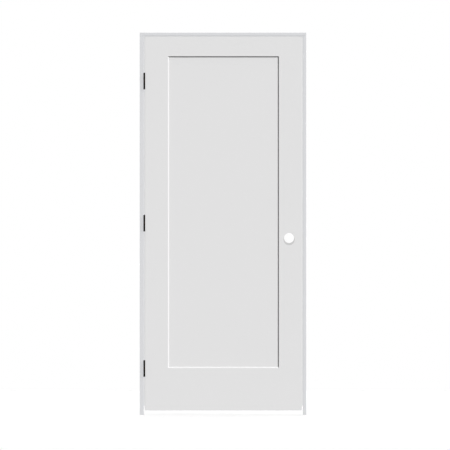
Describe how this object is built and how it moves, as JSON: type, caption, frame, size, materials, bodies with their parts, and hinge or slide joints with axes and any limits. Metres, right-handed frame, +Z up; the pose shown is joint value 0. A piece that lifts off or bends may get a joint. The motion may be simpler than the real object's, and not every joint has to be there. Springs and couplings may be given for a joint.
{
  "type": "prehung interior door",
  "caption": "Interior door slab with one recessed flat panel and a lock bore, hung on butt hinges in a jamb frame with mitred stops.",
  "frame": {"origin": "on the back of the hinge jamb, where it is fixed to the wall, at floor level and half way through the wall", "axes": "+X across the opening from the hinge side to the lock side, +Y through the wall away from the side that the door opens to, +Z up"},
  "size_m": [0.9017, 0.136, 2.0701],
  "materials": {
    "primed_slab": "factory white primer on fibreboard, satin",
    "primed_jamb": "factory primer on jointed pine, satin, a slightly cooler grey",
    "primed_stop": "factory primer on jointed pine, satin, as white as the slab",
    "black_hinge": "matte black coat on steel, rubbed to bronze along the edges and on the middle knuckle"
  },
  "bodies": {
    "frame": {"head_jamb": "primed_jamb", "hinge_jamb": "primed_jamb", "strike_jamb": "primed_jamb", "head_stop": "primed_stop", "hinge_stop": "primed_stop", "strike_stop": "primed_stop", "top_hinge_frame_leaf": "black_hinge", "top_hinge_pin": "black_hinge", "middle_hinge_frame_leaf": "black_hinge", "middle_hinge_pin": "black_hinge", "bottom_hinge_frame_leaf": "black_hinge", "bottom_hinge_pin": "black_hinge"},
    "door": {"hinge_stile": "primed_slab", "lock_stile": "primed_slab", "top_rail": "primed_slab", "bottom_rail": "primed_slab", "panel": "primed_slab", "top_hinge_door_leaf": "black_hinge", "middle_hinge_door_leaf": "black_hinge", "bottom_hinge_door_leaf": "black_hinge"}
  },
  "joints": [
    {"name": "door_swing", "type": "hinge", "parent": "frame", "child": "door", "pos_m": [0.0248, -0.073, 1], "axis": [0, 0, -1], "range_deg": [0, 180]}
  ]
}
